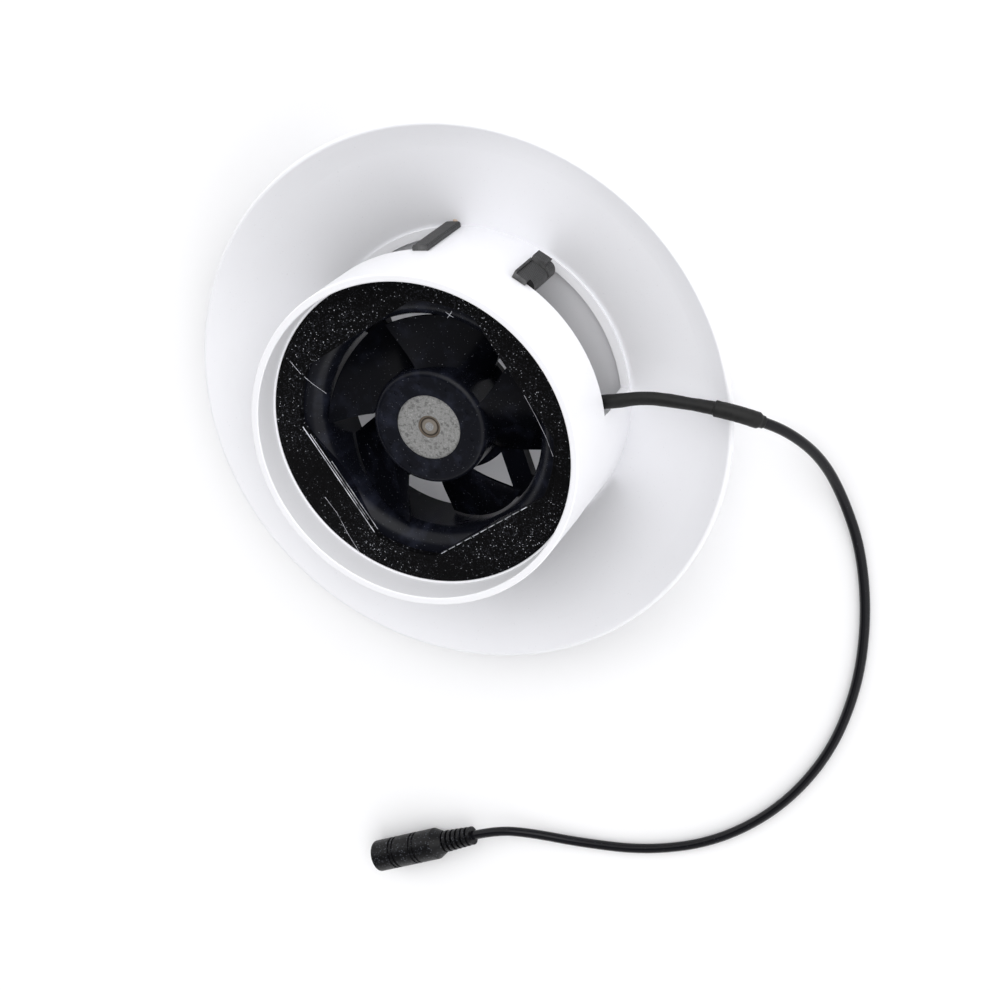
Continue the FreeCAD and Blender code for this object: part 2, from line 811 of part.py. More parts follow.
def route_length(edges):
    return sum(edge.Length for edge in edges)


def make_cable():
    edges, radii = route_edges(cable_route)
    cable = tube_along(edges, cable_radius)
    length = route_length(edges)
    ideal = math.pi * cable_radius ** 2 * length
    print("cable length %.1f, radii %s, volume share %.4f" % (length, radii, cable.Volume / ideal))
    return cable


def sleeve_between(start, end, outer, inner):
    edges, _ = route_edges(cable_route)
    piece = stretch(edges, start, end)
    return tube_along(piece, outer).cut(tube_along(piece, inner))


def make_end_sleeve(start):
    """The second layer: it grips the long sleeve and, past its end, the cable."""
    end = start + end_sleeve_length
    over_sleeve = sleeve_between(start, sleeve_length, end_sleeve_radius, sleeve_radius)
    over_cable = sleeve_between(sleeve_length, end, end_sleeve_radius, cable_radius)
    return join([over_sleeve, over_cable])


def strut_point(along, across, height):
    """A point measured along and across the strut that carries the wires."""
    heading = strut_lean + 360 / strut_count * wire_strut
    return polar(along, heading) + polar(across, heading + 90) + Vector(0, 0, height)


def wire_hole():
    """The hole in the base, measured from the axis towards the strut."""
    return math.sqrt((board_outer - wire_hole_inset) ** 2 - wire_start ** 2)


def wire_points(aside):
    low = fan_back + label_thickness + wire_radius + wire_gap
    start = Vector(*cable_route[0])
    ahead = Vector(*cable_route[1]) - start
    ahead.normalize()
    right = ahead.cross(Vector(0, 0, 1))
    right.normalize()
    end = start - right * aside
    clear = fan_half + wire_radius + wire_gap
    across = strut_offset + aside
    corner = strut_point(wire_turn, across, low)
    return [
        strut_point(wire_start - aside, wire_hole(), board_bottom),
        strut_point(wire_start - aside, wire_hole(), low),
        strut_point(wire_start - aside, across, low),
        corner,
        Vector(corner.x + wire_side_step - aside, clear + wire_shift() + aside, low + wire_rise),
        Vector((corner.x + end.x) / 2, clear + wire_shift() + aside, (low + end.z) / 2 + wire_rise),
        end - ahead * (wire_lead_in - aside),
        end,
    ]


def wire_shift():
    """Half the distance between the middles of the two wires."""
    return wire_radius + wire_gap / 2


def make_wires():
    wires = []
    for aside in (-wire_shift(), wire_shift()):
        edges, _ = route_edges([tuple(p) for p in wire_points(aside)], wire_bend_limit)
        wires.append(tube_along(edges, wire_radius))
    return wires


def wire_channel():
    """Hole through the motor base, channel under it and under a strut, and notch in the rear flange."""
    half = 2 * wire_radius + 1.5 * wire_gap
    top = fan_back + label_thickness + 2 * (wire_radius + wire_gap)
    heading = strut_lean + 360 / strut_count * wire_strut
    near = strut_offset - half
    far = strut_offset + half
    below = fan_back - 1
    hole = wire_hole()
    pieces = [
        block(wire_start - half, wire_start + half, hole - half, hole + half, below, base_top + 1),
        block(wire_start - half, wire_start + half, hole - half, far, below, top),
        block(wire_start - half, wire_start + half + wire_bend_room, near - wire_bend_room, far, below, top),
        block(wire_start - half, fan_half + 1, near, far, below, top),
        block(wire_turn - half, fan_half + 1, near - wire_side_step, far, below,
              fan_back + flange_thickness + 1),
    ]
    return [turned(piece, heading) for piece in pieces]


# ---------------------------------------------------------------- power socket
def placed_on_lead(shape):
    """Move a shape built up the Z axis onto the end of the cable, base at the cable."""
    heading = Vector(*cable_route[-1]) - Vector(*cable_route[-2])
    heading.normalize()
    turn = FreeCAD.Rotation(Vector(0, 0, 1), heading)
    copy = shape.copy()
    copy.Placement = FreeCAD.Placement(Vector(*cable_route[-1]), turn)
    return copy


socket_length = relief_length + socket_shoulder_length + socket_body_length


def make_socket_body():
    relief = cylinder(relief_core_radius, 0, relief_length)
    pitch = relief_length / relief_rib_count
    ribs = []
    for i in range(relief_rib_count):
        radius = relief_rib_radius + relief_rib_growth * i
        ribs.append(cylinder(radius, pitch * i, pitch * (i + relief_rib_share)))
    shoulder = Part.makeCone(socket_neck_radius, socket_radius, socket_shoulder_length,
                             Vector(0, 0, relief_length))
    body = cylinder(socket_radius, relief_length + socket_shoulder_length, socket_length)
    end_edge = [e for e in body.Edges if abs(e.CenterOfMass.z - socket_length) < 0.01 and len(e.Vertexes) == 1
                and e.BoundBox.ZLength < 0.01]
    body = body.makeFillet(socket_edge_radius, end_edge)
    whole = join([relief, shoulder, body] + ribs)
    grooves = []
    for share in groove_places:
        low = relief_length + socket_shoulder_length + socket_body_length * share
        grooves.append(ring(socket_radius + 1, socket_radius - groove_depth, low, low + groove_width))
    bore = cylinder(socket_bore_radius + barrel_wall_metal,
                    socket_length - socket_bore_depth - insulator_plug_length, socket_length + 1)
    return placed_on_lead(whole.cut(grooves + [bore]))


def make_socket_barrel():
    low = socket_length - socket_bore_depth
    high = socket_length - barrel_setback
    return placed_on_lead(ring(socket_bore_radius + barrel_wall_metal, socket_bore_radius, low, high))


def make_socket_plug():
    low = socket_length - socket_bore_depth - insulator_plug_length
    plug = cylinder(socket_bore_radius + barrel_wall_metal, low, low + insulator_plug_length)
    return placed_on_lead(plug.cut(cylinder(centre_pin_radius, low - 1, low + insulator_plug_length + 1)))


def make_socket_pin():
    low = socket_length - socket_bore_depth - insulator_plug_length
    pin = cylinder(centre_pin_radius, low, socket_length - pin_setback)
    return placed_on_lead(pin)


# ---------------------------------------------------------------- build and save
def build():
    nodes["vent_tube"] = make_tube()
    nodes["cowl_hat"] = make_hat()
    nodes["fan_holder"] = make_holder()
    for place, angle in zip(("upper", "lower"), clip_legs):
        nodes["edge_clip_plain_" + place] = make_plain_clip(angle + leg_half_angle, -1)
        nodes["edge_clip_notched_" + place] = make_notched_clip(angle - leg_half_angle, 1)
    nodes["fan_housing"] = make_housing()
    nodes["fan_struts"] = make_struts()
    nodes["motor_base"] = make_motor_base()
    nodes["impeller_hub"] = make_hub()
    for number, blade in enumerate(make_blades(), 1):
        nodes["impeller_blade_%d" % number] = blade
    nodes["rotor_cup"] = make_cup()
    nodes["shaft_bush"] = make_bush()
    nodes["ring_magnet"] = make_magnet()
    nodes["rotor_shaft"] = make_shaft()
    nodes["shaft_retainer"] = make_retainer()
    nodes["preload_washer"] = make_washer()
    for place, bottom in (("lower", lower_bearing_bottom), ("upper", upper_bearing_top - bearing_width)):
        outer, inner, balls = make_bearing(bottom)
        nodes[place + "_bearing_outer_race"] = outer
        nodes[place + "_bearing_inner_race"] = inner
        nodes[place + "_bearing_balls"] = balls
    nodes["stator_core"] = make_core()
    nodes["stator_insulators"] = make_insulators()
    nodes["stator_coils"] = make_coils()
    nodes["circuit_board"] = make_board()
    nodes["board_parts"] = make_board_parts()
    nodes["motor_label"] = make_label()
    red, black = make_wires()
    nodes["fan_wire_red"] = red
    nodes["fan_wire_black"] = black
    nodes["power_cable"] = make_cable()
    nodes["shrink_sleeve"] = sleeve_between(0, sleeve_length, sleeve_radius, cable_radius)
    end_sleeve_start = sleeve_length - end_sleeve_length + end_sleeve_overhang
    nodes["end_sleeve"] = make_end_sleeve(end_sleeve_start)
    nodes["socket_body"] = make_socket_body()
    nodes["socket_barrel"] = make_socket_barrel()
    nodes["socket_plug"] = make_socket_plug()
    nodes["socket_pin"] = make_socket_pin()


def save():
    os.makedirs("parts", exist_ok=True)
    for name, shape in nodes.items():
        shape.exportStep(os.path.join("parts", name + ".step"))
        box = shape.BoundBox
        print("%-28s solids %d valid %s volume %9.1f box %.1f %.1f %.1f .. %.1f %.1f %.1f" % (
            name, len(shape.Solids), shape.isValid(), shape.Volume,
            box.XMin, box.YMin, box.ZMin, box.XMax, box.YMax, box.ZMax))


build()
save()
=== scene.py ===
"""Vent cowl with a built-in axial fan: finishes, lead and stage round the fixed frame."""

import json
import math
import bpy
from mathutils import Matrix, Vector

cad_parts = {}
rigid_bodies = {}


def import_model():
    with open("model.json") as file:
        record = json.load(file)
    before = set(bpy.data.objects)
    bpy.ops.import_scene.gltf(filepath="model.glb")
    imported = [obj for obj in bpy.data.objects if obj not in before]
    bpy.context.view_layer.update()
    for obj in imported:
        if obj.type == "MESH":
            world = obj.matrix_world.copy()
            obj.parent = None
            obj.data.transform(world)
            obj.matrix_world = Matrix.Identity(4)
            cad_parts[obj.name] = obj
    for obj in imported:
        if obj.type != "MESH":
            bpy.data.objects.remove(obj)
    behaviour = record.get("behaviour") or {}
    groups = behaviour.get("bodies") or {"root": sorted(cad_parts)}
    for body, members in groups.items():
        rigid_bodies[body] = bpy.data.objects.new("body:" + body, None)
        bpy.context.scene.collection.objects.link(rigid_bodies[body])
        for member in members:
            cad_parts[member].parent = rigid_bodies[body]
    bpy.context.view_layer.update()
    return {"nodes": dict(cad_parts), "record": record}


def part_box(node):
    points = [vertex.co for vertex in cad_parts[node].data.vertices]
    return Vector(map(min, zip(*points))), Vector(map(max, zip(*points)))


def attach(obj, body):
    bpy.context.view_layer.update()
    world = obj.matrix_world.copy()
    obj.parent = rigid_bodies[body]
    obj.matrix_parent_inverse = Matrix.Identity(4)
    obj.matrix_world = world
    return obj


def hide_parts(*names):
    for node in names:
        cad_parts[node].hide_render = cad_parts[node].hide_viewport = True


bl_info = {
    "name": "Vent cowl fan",
    "version": (1, 0, 0),
    "blender": (4, 5, 0),
    "location": "View3D > Sidebar > Vent cowl",
    "description": "Builds the finishes, the lead and the stage of a vent cowl with an axial fan",
    "category": "Add Mesh",
}

import bmesh
import bpy
from bpy.props import FloatProperty, FloatVectorProperty, PointerProperty
from mathutils import Matrix, Vector, noise

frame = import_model()

MM = 0.001
finishes = {}

# The printed plate's opening: a circle with four flats, on the tube's axis.
OPENING_RADIUS = 45.5 * MM
OPENING_FLAT = 38.9 * MM
PLATE_THICKNESS = 3 * MM
BORDER_LINES = 3
BORDER_WIDTH = 1.5 * MM
EDGE_LINE = 0.32 * MM
THREAD_LINE = 0.16 * MM

# Lines with a painted highlight along one flat of the opening, as shares of half the flat and of the plate's
# thickness.
PAINTED_HIGHLIGHT_LINES = [(-0.95, 0.9, 0.0), (-0.8, 0.7, 0.4), (-0.3, 0.9, 0.9)]
# Short strokes with a painted highlight along the next flat: the first one's ends, the step between them and
# their count.
STROKE_START = -0.9
STROKE_END = -0.79
STROKE_STEP = 0.15
STROKE_COUNT = 11

# The studio's surround is dark like a black card towards DARK_CARD, so that level black faces stay black.
DARK_CARD = (0.142, -0.499, 0.855)
CARD_EDGE = 0.62
CARD_DEEP = 0.84
CARD_SHADE = 0.05

# Loose threads left by the printing, on the plate.
STRAY_THREADS = [
    [(-0.0297, 0.0298, 0.0516), (-0.0281, 0.0305, 0.0518), (-0.0268, 0.0311, 0.0516)],
    [(-0.0288, 0.0319, 0.0516), (-0.0281, 0.0304, 0.0519), (-0.0277, 0.0291, 0.0516)],
    [(-0.0435, -0.0283, 0.0551), (-0.0380, -0.0276, 0.0550), (-0.0330, -0.0264, 0.0543),
     (-0.0277, -0.0245, 0.0535)],
    [(0.0063, 0.0387, 0.0547), (0.0140, 0.0377, 0.0541), (0.0220, 0.0366, 0.0542),
     (0.0284, 0.0353, 0.0549)],
    [(0.0021, -0.0476, 0.0551), (0.0090, -0.0471, 0.0552), (0.0170, -0.0482, 0.0552),
     (0.0250, -0.0487, 0.0551)],
]

# A drop of glue on the hat, beside the foot of the upper plain clip.
GLUE_PLACE = (-0.0513, 0.0298, 0.0102)

# The power cable's route from the fan's side to the socket, in metres.
LEAD_ROUTE = [
    (0.0205, 0.0434, 0.0336),
    (0.0248, 0.0526, 0.0344),
    (0.0296, 0.0648, 0.0336),
    (0.0376, 0.0748, 0.0326),
    (0.0452, 0.0843, 0.0326),
    (0.0536, 0.0916, 0.0306),
    (0.0650, 0.0962, 0.0225),
    (0.0805, 0.0960, 0.0110),
    (0.0980, 0.0918, 0.0036),
    (0.1180, 0.0860, 0.0018),
    (0.1410, 0.0738, 0.0018),
    (0.1625, 0.0566, 0.0018),
    (0.1810, 0.0334, 0.0018),
    (0.1926, 0.0046, 0.0018),
    (0.1950, -0.0255, 0.0018),
    (0.1878, -0.0530, 0.0018),
    (0.1745, -0.0760, 0.0018),
    (0.1618, -0.0915, 0.0040),
    (0.1544, -0.1026, 0.0062),
    (0.1524, -0.1134, 0.0062),
]


# ------------------------------------------------------------------ shader maths
class Signal:
    """A shader socket that takes part in Python arithmetic."""

    def __init__(self, finish, socket):
        self.finish = finish
        self.socket = socket

    def maths(self, operation, *others):
        sockets = dict(enumerate((self,) + others))
        return self.finish.node("ShaderNodeMath", {"operation": operation}, sockets)

    def __add__(self, other):
        return self.maths("ADD", other)

    def __sub__(self, other):
        return self.maths("SUBTRACT", other)

    def __rsub__(self, other):
        return (self * -1) + other

    def __mul__(self, other):
        return self.maths("MULTIPLY", other)

    def __pow__(self, other):
        return self.maths("POWER", other)

    __radd__ = __add__
    __rmul__ = __mul__


class Finish:
    """A material under construction: node() adds any node, the rest are short names for common ones."""

    def __init__(self, name):
        self.material = bpy.data.materials.new(name)
        self.material.use_nodes = True
        self.tree = self.material.node_tree
        self.tree.nodes.clear()
        self.place = self.node("ShaderNodeTexCoord", output="Object")
        x, y, z = (self.node("ShaderNodeSeparateXYZ", {}, {"Vector": self.place}, output=axis)
                   for axis in "XYZ")
        self.x, self.y, self.z = x, y, z

    def node(self, kind, settings=None, sockets=None, output=0):
        """Adds a node: its settings first, then the values or links of its sockets."""
        made = self.tree.nodes.new(kind)
        for name, value in (settings or {}).items():
            if name == "stops":
                self.set_stops(made.color_ramp, value)
            else:
                setattr(made, name, value)
        for name, value in (sockets or {}).items():
            if isinstance(value, Signal):
                self.tree.links.new(value.socket, made.inputs[name])
            else:
                made.inputs[name].default_value = value
        return Signal(self, made.outputs[output]) if len(made.outputs) else made

    @staticmethod
    def set_stops(ramp, stops):
        while len(ramp.elements) < len(stops):
            ramp.elements.new(1.0)
        for element, (place, shade) in zip(ramp.elements, stops):
            element.position = place
            element.color = (shade, shade, shade, 1)

    def ramp(self, value, *stops):
        return self.node("ShaderNodeValToRGB", {"stops": stops}, {"Fac": value})

    def mix(self, share, first, second):
        """Blends two colours."""
        sockets = {0: share, 6: first, 7: second}
        return self.node("ShaderNodeMix", {"data_type": "RGBA"}, sockets, output=2)

    def vector(self, x, y, z):
        return self.node("ShaderNodeCombineXYZ", {}, {"X": x, "Y": y, "Z": z})

    def noise(self, scale, detail=3.0, where=None, roughness=0.55):
        sockets = {"Vector": where or self.place, "Scale": scale, "Detail": detail, "Roughness": roughness}
        return self.node("ShaderNodeTexNoise", {}, sockets)

    def cells(self, scale, where=None, feature="F1", output="Color"):
        sockets = {"Vector": where or self.place, "Scale": scale}
        return self.node("ShaderNodeTexVoronoi", {"feature": feature}, sockets, output=output)

    def radius(self):
        """Distance from the axis of the tube."""
        return (self.x * self.x + self.y * self.y) ** 0.5

    def lines(self, along, pitch):
        """A wave from 0 to 1 whose ridges are one pitch apart."""
        return (along * (2 * math.pi / pitch)).maths("SINE") * 0.5 + 0.5

    def bump(self, height, strength, distance=MM, normal=None):
        sockets = {"Height": height, "Strength": strength, "Distance": distance}
        if normal:
            sockets["Normal"] = normal
        return self.node("ShaderNodeBump", {}, sockets)

    def done(self, **sockets):
        """Ends the material in one Principled shader."""
        named = {name.replace("_", " "): value for name, value in sockets.items()}
        shader = self.node("ShaderNodeBsdfPrincipled", {}, named)
        self.node("ShaderNodeOutputMaterial", {}, {"Surface": shader})
        return self.material


def tone(red, green, blue):
    return (red, green, blue, 1.0)


# ------------------------------------------------------------------ finishes
def white_plastic(name, colour):
    """Satin moulded plastic with a faint haze and fine scuffs."""
    f = Finish(name)
    haze = f.noise(14, 4)
    shaded = [c * s for c, s in zip(colour, (0.870, 0.862, 0.868))]
    clean = f.mix(f.ramp(haze, (0.35, 0), (0.7, 1)), tone(*shaded), tone(*[c * 1.03 for c in shaded]))
    specks = f.ramp(f.noise(1400, 1), (0.72, 0), (0.78, 1))
    marked = f.mix(specks * 0.22, clean, tone(0.45, 0.45, 0.46))
    streaks = f.noise(60, 5, f.vector(f.x * 0.25, f.y * 3.0, f.z * 6.0), 0.7)
    grain = f.noise(2200, 2)
    height = grain * 0.35 + f.ramp(streaks, (0.55, 0), (0.62, 1)) * 0.12 + f.noise(90, 2) * 0.8
    return f.done(Base_Color=marked, Roughness=0.34 + 0.16 * haze + 0.05 * streaks,
                  Normal=f.bump(height, 0.10, 0.12 * MM), IOR=1.49)


def printed_plastic(name, colour, lines_up, pitch=0.42 * MM, sheen=0.0):
    """Black printed filament: fine even lines with a painted highlight on their ridges, and bright specks
    painted into the colour as glints where the filament would catch the light.
    """
    f = Finish(name)
    along = f.z if lines_up else (f.x + f.y) * (0.5 ** 0.5)
    wobble = f.noise(320, 2) * (0.35 * pitch)
    thread = f.lines(along + wobble, pitch)
    stretched = f.vector(f.x, f.y, f.z * 8) if lines_up else f.vector((f.x + f.y) * 6, f.x - f.y, f.z)
    patch = f.noise(420, 3, stretched)
    # Painted glints: pale specks painted into the plate's colour, denser in patches, standing in for light
    # caught by the print.
    painted_glint_crowd = f.ramp(f.noise(45, 3), (0.38, 0), (0.62, 1))
    painted_glint = f.ramp(f.cells(2900), (0.70, 0), (0.86, 1)) * (0.10 + 0.90 * painted_glint_crowd)
    painted_sparkle = f.ramp(f.cells(3600), (0.89, 0), (0.93, 1)) * (0.15 + 0.85 * painted_glint_crowd)
    # The ridges of the lines are painted paler as a painted highlight, over random tone from patch; sheen
    # adds a painted sheen to the clips.
    low = [c * 0.08 for c in colour]
    painted_lit_tone = [c * 0.3 + sheen for c in colour]
    painted_ridge_light = f.ramp(thread, (0.55, 0), (0.92, 1))
    shade = f.mix(patch * (0.1 + 0.9 * painted_ridge_light), tone(*low), tone(*painted_lit_tone))
    if not lines_up:
        shade = f.mix(painted_glint * 0.13, shade, tone(0.20, 0.21, 0.25))
        shade = f.mix(painted_sparkle * 0.75, shade, tone(0.80, 0.83, 0.90))
    height = thread + patch * 0.8 + painted_glint * 0.6
    return f.done(Base_Color=shade, Roughness=0.26 + 0.2 * patch, IOR=1.22 if lines_up else 1.12,
                  Normal=f.bump(height, 0.5, 0.05 * MM))


def fan_plastic(name, colour, gloss=1.24):
    """Glossy dark moulding with a slight ripple and a cool painted sheen in streaks."""
    f = Finish(name)
    ripple = f.noise(260, 3)
    # Painted sheen: streaks of paler bluish colour standing in for light reflected off the gloss.
    painted_sheen_streaks = f.ramp(f.noise(150, 4, f.vector(f.x, f.y, f.z * 0.15)), (0.50, 0), (0.78, 1))
    shade = f.mix(f.noise(35, 3), tone(*[c * 0.18 for c in colour]), tone(*[c * 0.36 for c in colour]))
    shade = f.mix(painted_sheen_streaks * 0.5, shade, tone(*[c * 1.7 for c in colour]))
    dust = f.ramp(f.noise(1900, 1), (0.72, 0), (0.80, 1))
    shade = f.mix(dust * 0.5, shade, tone(0.24, 0.25, 0.28))
    return f.done(Base_Color=shade, Roughness=0.18 + 0.14 * f.noise(90, 4), IOR=gloss,
                  Normal=f.bump(ripple + f.noise(3000, 1) * 0.15, 0.12, 0.08 * MM))


def painted_highlight_edge(name, colour):
    """Edges of filament that were laid slowly, with their shine painted into the colour as a pale painted
    highlight.
    """
    f = Finish(name)
    patch = f.noise(240, 3)
    shade = f.mix(f.ramp(patch, (0.35, 0), (0.65, 1)), tone(*[c * 0.15 for c in colour]), tone(*colour))
    return f.done(Base_Color=shade, Roughness=0.16 + 0.2 * patch, Coat_Weight=0.6,
                  Normal=f.bump(f.noise(900, 2), 0.2, 0.05 * MM))


def mottled_steel(name, colour):
    """Plated steel, dull and speckled."""
    f = Finish(name)
    colour = [c * 0.55 for c in colour]
    fine = f.noise(1700, 4, roughness=0.8)
    spots = f.ramp(f.noise(1000, 3), (0.50, 0), (0.66, 1))
    bright = f.ramp(f.cells(2300), (0.82, 0), (0.92, 1))
    shade = f.mix(f.ramp(fine, (0.35, 0), (0.65, 1)), tone(*[c * 0.62 for c in colour]), tone(*colour))
    shade = f.mix(spots * 0.70, shade, tone(*[c * 0.24 for c in colour]))
    shade = f.mix(bright * 0.30, shade, tone(0.62, 0.62, 0.60))
    return f.done(Base_Color=shade, Metallic=0.35, Roughness=0.42 + 0.2 * fine,
                  Normal=f.bump(fine, 0.35, 0.05 * MM))


def polished_steel(name, colour):
    f = Finish(name)
    turned = f.lines(f.radius(), 0.12 * MM)
    smear = f.noise(500, 3)
    return f.done(Base_Color=f.mix(smear, tone(*[c * 0.8 for c in colour]), tone(*colour)), Metallic=1.0,
                  Roughness=0.16 + 0.14 * smear, Normal=f.bump(turned, 0.12, 0.02 * MM))


def dull_bush(name, colour):
    """Porous turned bronze with a groove darkened by painted shade, and oily stains."""
    f = Finish(name)
    pores = f.ramp(f.noise(3500, 2), (0.6, 0), (0.7, 1))
    stain = f.noise(700, 4)
    share = f.radius() * (1 / (4 * MM))
    painted_groove_shade = f.ramp(share, (0.68, 0), (0.72, 1), (0.80, 1), (0.84, 0))
    shade = f.mix(stain, tone(*[c * 0.18 for c in colour]), tone(*[c * 0.42 for c in colour]))
    shade = f.mix(f.ramp(share, (0.60, 1), (0.70, 0)) * 0.6, shade, tone(0.26, 0.24, 0.21))
    # Painted shade: the groove ring is painted near black.
    shade = f.mix(painted_groove_shade * 0.9, shade, tone(0.012, 0.010, 0.008))
    shade = f.mix(pores * 0.5, shade, tone(0.05, 0.04, 0.03))
    return f.done(Base_Color=shade, Metallic=0.35, Roughness=0.42 + 0.2 * stain,
                  Normal=f.bump(pores - painted_groove_shade, 0.4, 0.05 * MM))


def sintered_magnet(name, colour):
    f = Finish(name)
    grain = f.noise(2600, 3)
    shade = f.mix(grain, tone(*[c * 0.6 for c in colour]), tone(*[c * 1.3 for c in colour]))
    return f.done(Base_Color=shade, Roughness=0.6 + 0.2 * grain, Normal=f.bump(grain, 0.3, 0.05 * MM))


def stacked_sheets(name, colour):
    """Edges of thin stamped sheets, one above another."""
    f = Finish(name)
    sheet = f.lines(f.z, 0.5 * MM)
    shade = f.mix(f.ramp(sheet, (0.05, 0), (0.3, 1)), tone(0.06, 0.06, 0.065), tone(*colour))
    return f.done(Base_Color=shade, Metallic=0.8, Roughness=0.35 + 0.15 * f.noise(900, 2),
                  Normal=f.bump(sheet, 0.6, 0.08 * MM))


def wound_copper(name, colour):
    """Enamelled wire laid in close turns."""
    f = Finish(name)
    turn = f.lines(f.radius() + f.noise(400, 2) * 0.1 * MM, 0.28 * MM)
    shade = f.mix(turn, tone(*[c * 0.35 for c in colour]), tone(*colour))
    return f.done(Base_Color=shade, Metallic=0.75, Roughness=0.25 + 0.1 * turn, Coat_Weight=0.5,
                  Normal=f.bump(turn, 0.8, 0.1 * MM))


def plain_moulding(name, colour, gloss=0.45, grain_scale=1800):
    f = Finish(name)
    grain = f.noise(grain_scale, 3)
    shade = f.mix(f.noise(60, 3), tone(*[c * 0.85 for c in colour]), tone(*colour))
    return f.done(Base_Color=shade, Roughness=gloss + 0.15 * grain, Normal=f.bump(grain, 0.2, 0.04 * MM))


def solder_mask(name, colour):
    """Green board with paler tracks under the mask."""
    f = Finish(name)
    tracks = f.ramp(f.cells(360, feature="DISTANCE_TO_EDGE", output="Distance"), (0.05, 1), (0.08, 0))
    shade = f.mix(tracks, tone(*colour), tone(*[c * 2.2 for c in colour]))
    return f.done(Base_Color=shade, Roughness=0.3 + 0.1 * tracks, Coat_Weight=0.4,
                  Normal=f.bump(tracks, 0.4, 0.04 * MM))


def foil_label(name, colour):
    f = Finish(name)
    brushed = f.noise(400, 3, f.vector(f.x, f.y * 20, f.z))
    shade = f.mix(brushed, tone(*[c * 0.9 for c in colour]), tone(*colour))
    return f.done(Base_Color=shade, Metallic=0.4, Roughness=0.35 + 0.1 * brushed,
                  Normal=f.bump(brushed, 0.1, 0.02 * MM))


def glossy_sheath(name, colour):
    """Smooth drawn sheath with faint die lines and handling dust."""
    f = Finish(name)
    smudge = f.noise(120, 4)
    dust = f.ramp(f.noise(1600, 1), (0.74, 0), (0.8, 1))
    shade = f.mix(dust * 0.3, tone(*[c * 0.4 for c in colour]), tone(0.18, 0.19, 0.22))
    return f.done(Base_Color=shade, Roughness=0.15 + 0.12 * smudge, IOR=1.28,
                  Normal=f.bump(f.noise(700, 2), 0.08, 0.06 * MM))


def shrunk_sleeve(name, colour):
    """Matte heat-shrink, finely creased."""
    f = Finish(name)
    crease = f.noise(520, 5, roughness=0.65)
    shade = f.mix(crease, tone(*[c * 0.15 for c in colour]), tone(*[c * 0.7 for c in colour]))
    return f.done(Base_Color=shade, Roughness=0.40 + 0.2 * crease, IOR=1.30,
                  Normal=f.bump(crease + f.noise(2400, 2) * 0.3, 0.5, 0.12 * MM))


def eroded_moulding(name, colour):
    """Socket moulding with a fine spark-eroded grain, worn a little shinier in patches."""
    f = Finish(name)
    grain = f.noise(2800, 3)
    wear = f.ramp(f.noise(160, 3), (0.45, 0), (0.75, 1))
    shade = f.mix(wear * 0.5, tone(*[c * 0.08 for c in colour]), tone(*[c * 0.25 for c in colour]))
    shade = f.mix(f.ramp(f.cells(2600), (0.78, 0), (0.90, 1)) * 0.35, shade, tone(0.16, 0.17, 0.20))
    return f.done(Base_Color=shade, Roughness=0.34 + 0.12 * grain - 0.1 * wear, IOR=1.27,
                  Normal=f.bump(grain, 0.35, 0.05 * MM))


def nickel_contact(name, colour):
    f = Finish(name)
    smear = f.noise(900, 3)
    return f.done(Base_Color=f.mix(smear, tone(*[c * 0.8 for c in colour]), tone(*colour)), Metallic=1.0,
                  Roughness=0.2 + 0.12 * smear, Normal=f.bump(smear, 0.1, 0.02 * MM))


def old_glue(name, colour):
    """A brown, half clear drop of glue."""
    f = Finish(name)
    cloud = f.noise(900, 3)
    shade = f.mix(cloud, tone(*[c * 0.5 for c in colour]), tone(*colour))
    return f.done(Base_Color=shade, Roughness=0.25 + 0.2 * cloud, Normal=f.bump(cloud, 0.3, 0.1 * MM))


def floor_paint(name, colour):
    """Seamless studio paper, almost even."""
    f = Finish(name)
    return f.done(Base_Color=f.mix(f.noise(3, 2), tone(*[c * 0.99 for c in colour]), tone(*colour)),
                  Roughness=0.9 + 0.05 * f.noise(800, 2), Normal=f.bump(f.noise(1500, 3), 0.05, 0.05 * MM))


MAKERS = {
    "white_plastic": white_plastic,
    "fan_plastic": fan_plastic,
    "rotor_steel": mottled_steel,
    "bearing_steel": polished_steel,
    "bush_brass": dull_bush,
    "magnet": sintered_magnet,
    "core_steel": stacked_sheets,
    "winding": wound_copper,
    "insulator": plain_moulding,
    "board": solder_mask,
    "chip": plain_moulding,
    "label": foil_label,
    "wire_red": plain_moulding,
    "wire_black": plain_moulding,
    "cable_jacket": glossy_sheath,
    "heat_shrink": shrunk_sleeve,
    "socket_rubber": eroded_moulding,
    "contact_metal": nickel_contact,
}
NODE_SLOT = {part["node"]: part["material_slot"] for part in frame["record"]["subparts"]}
SLOT_COLOUR = {slot["slot"]: slot["base_color"] for slot in frame["record"]["materials"]}


def finish_for(slot, colour=None):
    """The material of one of the record's slots, made once."""
    if slot not in finishes:
        finishes[slot] = MAKERS[slot](slot, colour or SLOT_COLOUR[slot])
    return finishes[slot]


def dress(node, material):
    """Puts a material on a frame piece without touching its mesh."""
    piece = frame["nodes"][node]
    if not piece.material_slots:
        piece.data.materials.append(material)
    for holder in piece.material_slots:
        holder.material = material


def dress_slots(slots):
    for node, slot in NODE_SLOT.items():
        if slot in slots:
            dress(node, finish_for(slot))


# ------------------------------------------------------------------ mesh helpers
def show(name, mesh, material=None):
    piece = bpy.data.objects.new(name, mesh)
    bpy.context.scene.collection.objects.link(piece)
    if material:
        mesh.materials.clear()
        mesh.materials.append(material)
    return piece


def smooth(piece, angle=35):
    """Soft shading with crisp edges where faces turn sharply."""
    mesh = piece.data
    mesh.polygons.foreach_set("use_smooth", [True] * len(mesh.polygons))
    mesh.set_sharp_from_angle(angle=math.radians(angle))
    return piece


